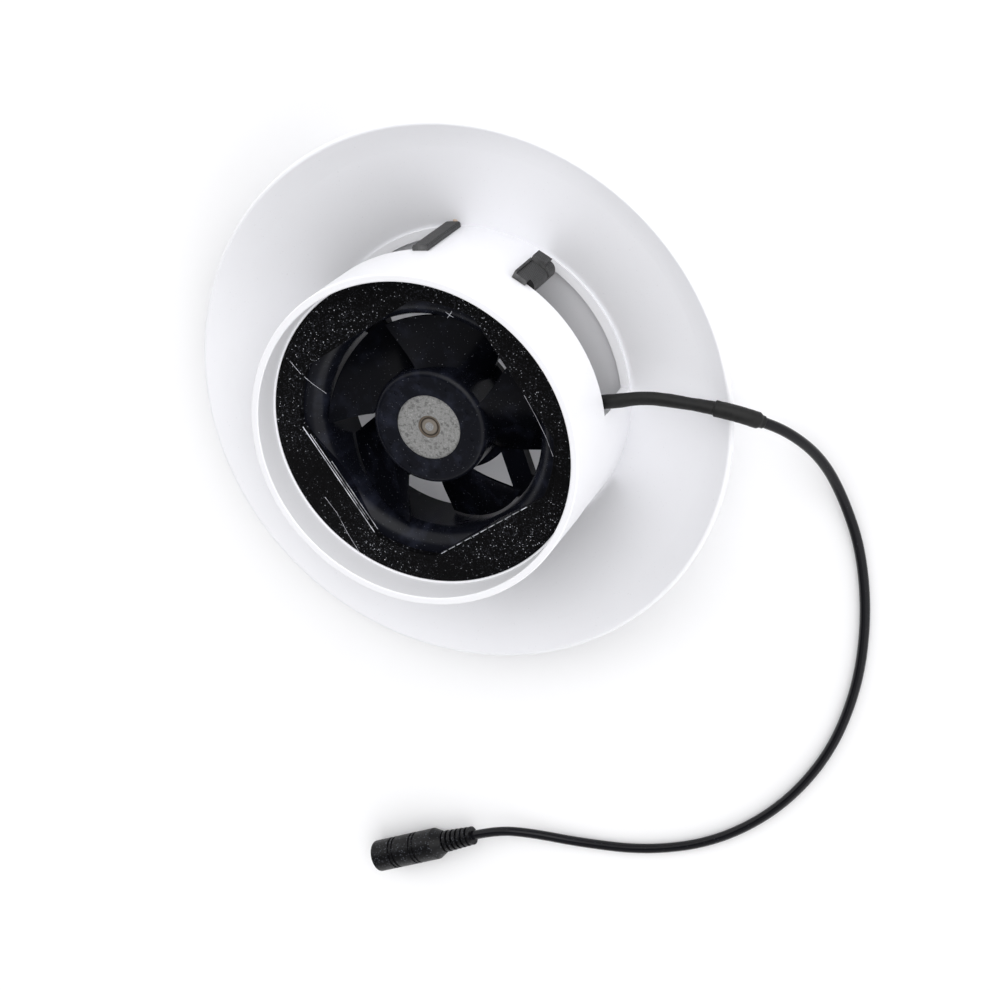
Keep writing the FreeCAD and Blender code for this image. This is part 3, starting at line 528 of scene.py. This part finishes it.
def rings_to_mesh(name, rings, closed_ends=True):
    """Joins rings of points, one after another, into a tube."""
    count = len(rings[0])
    points = [p for ring in rings for p in ring]
    faces = []
    for i in range(len(rings) - 1):
        for j in range(count):
            a = i * count + j
            b = i * count + (j + 1) % count
            faces.append((a, b, b + count, a + count))
    if closed_ends:
        faces.append(tuple(reversed(range(count))))
        faces.append(tuple(range(len(points) - count, len(points))))
    mesh = bpy.data.meshes.new(name)
    mesh.from_pydata(points, [], faces)
    return mesh


def outward(mesh):
    """Makes every face point outwards."""
    work = bmesh.new()
    work.from_mesh(mesh)
    bmesh.ops.remove_doubles(work, verts=work.verts, dist=1e-7)
    bmesh.ops.recalc_face_normals(work, faces=work.faces)
    work.to_mesh(mesh)
    work.free()
    return mesh


def cord_spline(curve, route):
    """One smooth open line with the route's points as its control points."""
    spline = curve.splines.new("NURBS")
    spline.points.add(len(route) - 1)
    for point, place in zip(spline.points, route):
        point.co = (*place, 1.0)
    spline.order_u = 3
    spline.use_endpoint_u = True


def line_of(route):
    """Points along the smooth line of a route, with the length run up to each."""
    curve = bpy.data.curves.new("line", "CURVE")
    curve.dimensions = "3D"
    curve.resolution_u = 24
    cord_spline(curve, route)
    piece = bpy.data.objects.new("line", curve)
    mesh = bpy.data.meshes.new_from_object(piece)
    points = [v.co.copy() for v in mesh.vertices]
    bpy.data.objects.remove(piece)
    bpy.data.curves.remove(curve)
    bpy.data.meshes.remove(mesh)
    runs = [0.0]
    for before, after in zip(points, points[1:]):
        runs.append(runs[-1] + (after - before).length)
    return points, runs


def along(line, run):
    """Place and heading at a length along a line."""
    points, runs = line
    run = min(max(run, 0.0), runs[-1])
    for i in range(len(runs) - 1):
        if runs[i + 1] >= run:
            share = (run - runs[i]) / (runs[i + 1] - runs[i])
            return points[i].lerp(points[i + 1], share), (points[i + 1] - points[i]).normalized()
    return points[-1], (points[-1] - points[-2]).normalized()


def sleeve_mesh(name, line, start, end, steps, sides, radius_at):
    """A tube along a stretch of a line; radius_at gives the radius from share and angle."""
    rings = []
    for i in range(steps + 1):
        share = i / steps
        place, heading = along(line, start + (end - start) * share)
        side = heading.cross(Vector((0, 0, 1))).normalized()
        up = side.cross(heading)
        ring = []
        for j in range(sides):
            angle = 2 * math.pi * j / sides
            out = side * math.cos(angle) + up * math.sin(angle)
            ring.append(place + out * radius_at(share, angle))
        rings.append(ring)
    return outward(rings_to_mesh(name, rings))


# ------------------------------------------------------------------ geometry nodes
class Tree:
    """A geometry node tree with named inputs."""

    def __init__(self, name, numbers):
        self.tree = bpy.data.node_groups.new(name, "GeometryNodeTree")
        panel = self.tree.interface
        panel.new_socket("Geometry", in_out="INPUT", socket_type="NodeSocketGeometry")
        self.ids = {}
        for label, kind in numbers.items():
            made = panel.new_socket(label, in_out="INPUT", socket_type=kind)
            self.ids[label] = made.identifier
        panel.new_socket("Geometry", in_out="OUTPUT", socket_type="NodeSocketGeometry")
        self.inputs = self.tree.nodes.new("NodeGroupInput")
        self.output = self.tree.nodes.new("NodeGroupOutput")

    def add(self, kind, settings=None, sockets=None):
        made = self.tree.nodes.new(kind)
        for name, value in (settings or {}).items():
            setattr(made, name, value)
        for name, value in (sockets or {}).items():
            if isinstance(value, bpy.types.NodeSocket):
                self.tree.links.new(value, made.inputs[name])
            else:
                made.inputs[name].default_value = value
        return made

    def end(self, geometry, material):
        """Realizes the instances and sets the material."""
        real = self.add("GeometryNodeRealizeInstances", {}, {"Geometry": geometry})
        painted = self.add("GeometryNodeSetMaterial", {}, {"Geometry": real.outputs[0], "Material": material})
        self.tree.links.new(painted.outputs[0], self.output.inputs[0])

    def grow(self, name, mesh, values):
        """Runs the tree on a mesh and gives the result as a plain piece."""
        seed = bpy.data.objects.new(name + "_seed", mesh)
        bpy.context.scene.collection.objects.link(seed)
        modifier = seed.modifiers.new("tree", "NODES")
        modifier.node_group = self.tree
        for label, value in values.items():
            modifier[self.ids[label]] = value
        graph = bpy.context.evaluated_depsgraph_get()
        result = bpy.data.meshes.new_from_object(seed.evaluated_get(graph))
        seed.modifiers.clear()
        bpy.data.objects.remove(seed)
        result.name = name
        return show(name, result)


def bead_tree(material):
    """Thin rounded beads along every edge of a mesh."""
    tree = Tree("beads", {"Bead width": "NodeSocketFloat", "Bead height": "NodeSocketFloat"})
    paths = tree.add("GeometryNodeMeshToCurve", {}, {"Mesh": tree.inputs.outputs["Geometry"]})
    circle = tree.add("GeometryNodeCurvePrimitiveCircle", {}, {"Resolution": 6, "Radius": 0.5})
    size = tree.add("ShaderNodeCombineXYZ", {}, {"X": tree.inputs.outputs["Bead width"],
                                                 "Y": tree.inputs.outputs["Bead height"], "Z": 1.0})
    flat = tree.add("GeometryNodeTransform", {}, {"Geometry": circle.outputs[0], "Scale": size.outputs[0]})
    upright = tree.add("GeometryNodeSetCurveNormal", {"mode": "Z_UP"}, {"Curve": paths.outputs[0]})
    swept = tree.add("GeometryNodeCurveToMesh", {}, {"Curve": upright.outputs[0],
                                                     "Profile Curve": flat.outputs[0], "Fill Caps": True})
    tree.end(swept.outputs[0], material)
    return tree


def edges_mesh(name, runs):
    """A mesh of separate open runs of points."""
    points = []
    edges = []
    for run in runs:
        first = len(points)
        points.extend(run)
        edges.extend((first + i, first + i + 1) for i in range(len(run) - 1))
    mesh = bpy.data.meshes.new(name)
    mesh.from_pydata(points, edges, [])
    return mesh


# ------------------------------------------------------------------ printed lines
def on_circle(radius, angle, height):
    return Vector((radius * math.cos(angle), radius * math.sin(angle), height))


def opening_ring(grow, height, steps=10):
    """The plate's opening, a circle with four flats, grown outwards by a width."""
    flat = OPENING_FLAT + grow
    radius = OPENING_RADIUS + grow
    start = math.acos(flat / radius)
    run = []
    for quarter in range(4):
        for i in range(steps + 1):
            angle = quarter * math.pi / 2 + start + (math.pi / 2 - 2 * start) * i / steps
            run.append(on_circle(radius, angle, height))
    return run + [run[0].copy()]


def rim_ring(radius, height, steps=96):
    """A full circle that ends where it starts."""
    return [on_circle(radius, 2 * math.pi * i / steps, height) for i in range(steps + 1)]


def painted_highlight_runs(top):
    """Lines with a painted highlight along one flat of the opening and short strokes along the next."""
    half = math.sqrt(OPENING_RADIUS ** 2 - OPENING_FLAT ** 2)
    runs = []
    for start, end, drop in PAINTED_HIGHLIGHT_LINES:
        height = top - drop * PLATE_THICKNESS
        runs.append([(half * start, -OPENING_FLAT, height), (half * end, -OPENING_FLAT, height)])
    for i in range(STROKE_COUNT):
        ends = (STROKE_START + STROKE_STEP * i, STROKE_END + STROKE_STEP * i)
        runs.append([(OPENING_FLAT, half * end, top) for end in ends])
    return runs


def raster_runs(pitch, height, outer, grow):
    """Straight printed lines at 45 degrees between the plate's rim and its opening."""
    ahead = Vector((1, 1, 0)).normalized()
    aside = Vector((-1, 1, 0)).normalized()
    runs = []
    count = int(outer / pitch)
    radius = OPENING_RADIUS + grow
    flat = (OPENING_FLAT + grow) * math.sqrt(2)
    for i in range(-count + 1, count):
        offset = i * pitch
        reach = math.sqrt(outer ** 2 - offset ** 2)
        middle = aside * offset + Vector((0, 0, height))
        if abs(offset) < radius and abs(offset) < flat:
            gap = min(math.sqrt(radius ** 2 - offset ** 2), flat - abs(offset))
            runs.append([middle - ahead * reach, middle - ahead * gap])
            runs.append([middle + ahead * gap, middle + ahead * reach])
        else:
            runs.append([middle - ahead * reach, middle + ahead * reach])
    return runs


def drop_mesh(name, place, width, height):
    """A flat uneven drop with its middle at a place."""
    work = bmesh.new()
    bmesh.ops.create_icosphere(work, subdivisions=4, radius=1.0)
    for point in work.verts:
        swell = 1 + 0.22 * noise.noise(point.co * 1.3 + Vector((3, 1, 2)))
        x, y, z = point.co
        point.co = Vector(place) + Vector((x * width, y * width * 0.8, z * height)) * swell
    mesh = bpy.data.meshes.new(name)
    work.to_mesh(mesh)
    work.free()
    return outward(mesh)


# ------------------------------------------------------------------ user sizes
class CowlSettings(bpy.types.PropertyGroup):
    colour: FloatVectorProperty(name="Plastic", description="Colour of the moulded cowl", subtype="COLOR",
                                size=3, default=SLOT_COLOUR["white_plastic"])


class PrintSettings(bpy.types.PropertyGroup):
    colour: FloatVectorProperty(name="Filament", description="Colour of the printed pieces", subtype="COLOR",
                                size=3, default=SLOT_COLOUR["printed_plastic"])
    pitch: FloatProperty(name="Line pitch", description="Distance between printed lines", unit="LENGTH",
                         default=0.45 * MM)
    bead_height: FloatProperty(name="Line height", description="How tall the printed lines are",
                               unit="LENGTH", default=0.16 * MM)
    # Painted sheen: a paler value added to the clips' colour, standing in for light they reflect.
    painted_clip_sheen: FloatProperty(name="Clip sheen", description="How much paler the clips are than the plate",
                              default=0.14)
    glue_colour: FloatVectorProperty(name="Glue", description="Colour of the drop of glue by a clip",
                                     subtype="COLOR", size=3, default=(0.62, 0.50, 0.40))
    # Painted highlight: the pale colour of the opening's edges and stray threads stands in for light they
    # catch.
    painted_highlight_colour: FloatVectorProperty(name="Edge", description="Colour of the shiny edges of the opening",
                                     subtype="COLOR", size=3, default=(0.72, 0.74, 0.80))


class LeadSettings(bpy.types.PropertyGroup):
    length: FloatProperty(name="Lead length", description="From the fan's side to the socket",
                          unit="LENGTH", default=0.376)
    diameter: FloatProperty(name="Cable diameter", description="Outside the sheath", unit="LENGTH",
                            default=3.6 * MM)
    sleeve_length: FloatProperty(name="Sleeve length", description="Heat-shrink from the fan outwards",
                                 unit="LENGTH", default=61 * MM)
    sleeve_radius: FloatProperty(name="Sleeve radius", description="Outside the long sleeve", unit="LENGTH",
                                 default=2.35 * MM)
    end_sleeve_length: FloatProperty(name="End sleeve length", description="Second layer of heat-shrink",
                                     unit="LENGTH", default=17 * MM)
    end_sleeve_radius: FloatProperty(name="End sleeve radius", description="Outside the second layer",
                                     unit="LENGTH", default=2.8 * MM)


class StageSettings(bpy.types.PropertyGroup):
    floor_size: FloatProperty(name="Floor size", description="Side of the floor", unit="LENGTH", default=24.0)
    floor_colour: FloatVectorProperty(name="Floor", description="Colour of the floor", subtype="COLOR",
                                      size=3, default=(0.92, 0.92, 0.925))
    daylight: FloatProperty(name="Surround", description="Strength of the even light all round", default=1.45)
    key_power: FloatProperty(name="Key light", description="Power of the large soft light", unit="POWER",
                             default=9.0)
    lens: FloatProperty(name="Lens", description="Focal length on a 36 mm sensor", default=72.73)


# ------------------------------------------------------------------ operators
class VENTCOWL_OT_cowl(bpy.types.Operator):
    """Finishes the white tube and hat"""
    bl_idname = "ventcowl.cowl"
    bl_label = "Cowl"

    def execute(self, context):
        finish_for("white_plastic", context.scene.cowl_settings.colour)
        dress_slots(["white_plastic"])
        return {"FINISHED"}


class VENTCOWL_OT_prints(bpy.types.Operator):
    """Finishes the printed holder and clips"""
    bl_idname = "ventcowl.prints"
    bl_label = "Printed pieces"

    def execute(self, context):
        settings = context.scene.print_settings
        flat = printed_plastic("printed_plate", settings.colour, False, settings.pitch)
        upright = printed_plastic("printed_clip", settings.colour, True, settings.pitch * 2,
                                  settings.painted_clip_sheen)
        dress("fan_holder", flat)
        for node, slot in NODE_SLOT.items():
            if slot == "printed_plastic" and node != "fan_holder":
                dress(node, upright)
        rim, _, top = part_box("fan_holder")[1]
        pitch = settings.pitch
        raster = raster_runs(pitch, top, rim - BORDER_WIDTH, BORDER_WIDTH)
        self.lines("plate_raster", flat, raster, pitch * 1.05, settings.bead_height)
        borders = [opening_ring(pitch * (i + 0.5), top) for i in range(BORDER_LINES)]
        borders += [rim_ring(rim - pitch * (i + 0.6), top) for i in range(BORDER_LINES)]
        self.lines("plate_borders", flat, borders, pitch, settings.bead_height * 1.6)
        # The opening's edges and the stray threads get a pale colour: a painted highlight.
        edge = painted_highlight_edge("printed_edge_painted_highlight", settings.painted_highlight_colour)
        self.lines("opening_edges", edge, painted_highlight_runs(top), EDGE_LINE, EDGE_LINE)
        self.lines("stray_threads", edge, STRAY_THREADS, THREAD_LINE, THREAD_LINE)
        glue = drop_mesh("glue_drop", GLUE_PLACE, 1.0 * MM, 0.45 * MM)
        drop = smooth(show("glue_drop", glue, old_glue("old_glue", settings.glue_colour)), 80)
        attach(drop, "root")
        return {"FINISHED"}

    def lines(self, name, material, runs, width, height):
        """Printed lines along runs of points, as one plain piece."""
        piece = bead_tree(material).grow(name, edges_mesh(name, runs),
                                         {"Bead width": width, "Bead height": height})
        smooth(piece, 50)
        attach(piece, "root")


class VENTCOWL_OT_fan(bpy.types.Operator):
    """Finishes the fan down to its bearings"""
    bl_idname = "ventcowl.fan"
    bl_label = "Fan"

    def execute(self, context):
        dress_slots(["fan_plastic", "rotor_steel", "bearing_steel", "bush_brass", "magnet", "core_steel",
                     "winding", "insulator", "board", "chip", "label", "wire_red", "wire_black"])
        # The blades get the fan plastic at half brightness: painted shade, as they face away from the light.
        painted_shade_blades = fan_plastic("blade_plastic_painted_shade", [c * 0.5 for c in SLOT_COLOUR["fan_plastic"]], 1.12)
        for node in NODE_SLOT:
            if node.startswith("impeller_blade"):
                dress(node, painted_shade_blades)
        return {"FINISHED"}


class VENTCOWL_OT_lead(bpy.types.Operator):
    """Lays the power cable and its shrunk sleeves"""
    bl_idname = "ventcowl.lead"
    bl_label = "Lead"

    def execute(self, context):
        settings = context.scene.lead_settings
        dress_slots(["contact_metal", "socket_rubber"])
        curve = bpy.data.curves.new("power_lead", "CURVE")
        curve.dimensions = "3D"
        curve.bevel_depth = settings.diameter / 2
        curve.bevel_resolution = 6
        curve.resolution_u = 16
        curve.use_fill_caps = True
        cord_spline(curve, LEAD_ROUTE)
        curve.materials.append(finish_for("cable_jacket"))
        cable = bpy.data.objects.new("power_lead", curve)
        context.scene.collection.objects.link(cable)

        line = line_of(LEAD_ROUTE)
        long_sleeve = self.long_sleeve(line, settings)
        end_sleeve = self.end_sleeve(line, settings)
        stand_ins = ((cable, "power_cable"), (long_sleeve, "shrink_sleeve"), (end_sleeve, "end_sleeve"))
        for piece, node in stand_ins:
            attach(piece, "root")
            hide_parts(node)
        on_cord = [long_sleeve, end_sleeve] + [frame["nodes"][n] for n in (
            "socket_body", "socket_barrel", "socket_plug", "socket_pin")]
        return {"FINISHED"}

    def long_sleeve(self, line, settings):
        def radius_at(share, angle):
            swell = noise.noise(Vector((share * 9, 2.3, 0.4)))
            twist = math.sin(2 * angle + share * 7) * 0.045
            crease = noise.noise(Vector((share * 34, math.cos(angle) * 1.6, math.sin(angle) * 1.6)))
            ends = min(share, 1 - share) * settings.sleeve_length
            taper = min(1.0, 0.86 + ends / (2 * MM))
            return settings.sleeve_radius * taper * (0.97 + 0.06 * swell + twist + 0.035 * crease)
        mesh = sleeve_mesh("long_sleeve", line, 0.0, settings.sleeve_length, 150, 32, radius_at)
        return smooth(show("long_sleeve", mesh, finish_for("heat_shrink")), 60)

    def end_sleeve(self, line, settings):
        start = settings.sleeve_length + 2 * MM - settings.end_sleeve_length

        def radius_at(share, angle):
            crease = noise.noise(Vector((share * 12, math.cos(angle) * 1.4 + 5, math.sin(angle) * 1.4)))
            over = settings.end_sleeve_radius * (0.985 + 0.03 * crease)
            step = min(max((share - 0.86) / 0.08, 0.0), 1.0)
            snug = settings.diameter / 2 + 0.35 * MM
            edge = min(1.0, 0.9 + min(share, 1 - share) * 8)
            return (over + (snug - over) * step * step * (3 - 2 * step)) * edge
        end = start + settings.end_sleeve_length
        mesh = sleeve_mesh("end_sleeve_skin", line, start, end, 60, 32, radius_at)
        return smooth(show("end_sleeve_skin", mesh, finish_for("heat_shrink")), 60)


class VENTCOWL_OT_stage(bpy.types.Operator):
    """Sets the floor, the lights and the camera"""
    bl_idname = "ventcowl.stage"
    bl_label = "Stage"

    def execute(self, context):
        settings = context.scene.stage_settings
        half = settings.floor_size / 2
        mesh = bpy.data.meshes.new("floor")
        mesh.from_pydata([(-half, -half, 0), (half, -half, 0), (half, half, 0), (-half, half, 0)], [],
                         [(0, 1, 2, 3)])
        show("floor", mesh, floor_paint("floor_paint", settings.floor_colour))
        self.lights(context, settings)
        self.camera(context, settings)
        return {"FINISHED"}

    def lights(self, context, settings):
        world = bpy.data.worlds.new("studio")
        world.use_nodes = True
        tree = world.node_tree
        surround = tree.nodes["Background"]
        surround.inputs["Color"].default_value = tone(0.99, 0.99, 1.0)
        way = tree.nodes.new("ShaderNodeTexCoord")
        toward = tree.nodes.new("ShaderNodeVectorMath")
        toward.operation = "DOT_PRODUCT"
        toward.inputs[1].default_value = DARK_CARD
        card = tree.nodes.new("ShaderNodeMapRange")
        card.interpolation_type = "SMOOTHSTEP"
        shades = {"From Min": CARD_EDGE, "From Max": CARD_DEEP,
                  "To Min": settings.daylight, "To Max": settings.daylight * CARD_SHADE}
        for socket, value in shades.items():
            card.inputs[socket].default_value = value
        tree.links.new(way.outputs["Generated"], toward.inputs[0])
        tree.links.new(toward.outputs["Value"], card.inputs["Value"])
        tree.links.new(card.outputs["Result"], surround.inputs["Strength"])
        context.scene.world = world
        lamps = (("key", (-0.5, 0.9, 1.3), 1.4, 1.0), ("fill", (0.9, -0.5, 1.1), 1.6, 0.45))
        for name, place, size, share in lamps:
            lamp = bpy.data.lights.new(name, "AREA")
            lamp.size = size
            lamp.energy = settings.key_power * share
            holder = bpy.data.objects.new(name, lamp)
            holder.location = place
            holder.rotation_euler = (-Vector(place)).to_track_quat("-Z", "Y").to_euler()
            context.scene.collection.objects.link(holder)

    def camera(self, context, settings):
        eye = bpy.data.cameras.new("camera")
        eye.sensor_width = 36
        eye.lens = settings.lens
        eye.clip_start = 0.02
        holder = bpy.data.objects.new("camera", eye)
        ahead = Vector((0.1423, -0.4994, -0.8546)).normalized()
        right = Vector((0.5491, 0.7582, -0.3516))
        right = (right - ahead * right.dot(ahead)).normalized()
        up = right.cross(ahead)
        turn = Matrix((right, up, -ahead)).transposed().to_4x4()
        holder.matrix_world = Matrix.Translation((-0.0642, 0.3404, 0.6219)) @ turn
        context.scene.collection.objects.link(holder)
        context.scene.camera = holder
        context.scene.view_settings.view_transform = "Standard"


class VENTCOWL_PT_panel(bpy.types.Panel):
    """Sizes, colours and the steps that build the model"""
    bl_idname = "VENTCOWL_PT_panel"
    bl_label = "Vent cowl"
    bl_space_type = "VIEW_3D"
    bl_region_type = "UI"
    bl_category = "Vent cowl"

    def draw(self, context):
        for group, kind in SETTINGS.items():
            box = self.layout.box()
            for name in kind.__annotations__:
                box.prop(getattr(context.scene, group), name)
        for step in STEPS:
            self.layout.operator(step.bl_idname)


SETTINGS = {
    "cowl_settings": CowlSettings,
    "print_settings": PrintSettings,
    "lead_settings": LeadSettings,
    "stage_settings": StageSettings,
}
STEPS = [VENTCOWL_OT_cowl, VENTCOWL_OT_prints, VENTCOWL_OT_fan, VENTCOWL_OT_lead, VENTCOWL_OT_stage]
CLASSES = list(SETTINGS.values()) + STEPS + [VENTCOWL_PT_panel]


def register():
    for kind in CLASSES:
        bpy.utils.register_class(kind)
    for group, kind in SETTINGS.items():
        setattr(bpy.types.Scene, group, PointerProperty(type=kind))


def unregister():
    for group in SETTINGS:
        delattr(bpy.types.Scene, group)
    for kind in reversed(CLASSES):
        bpy.utils.unregister_class(kind)


def main():
    register()
    for step in STEPS:
        group, name = step.bl_idname.split(".")
        getattr(getattr(bpy.ops, group), name)()


if __name__ == "__main__":
    main()
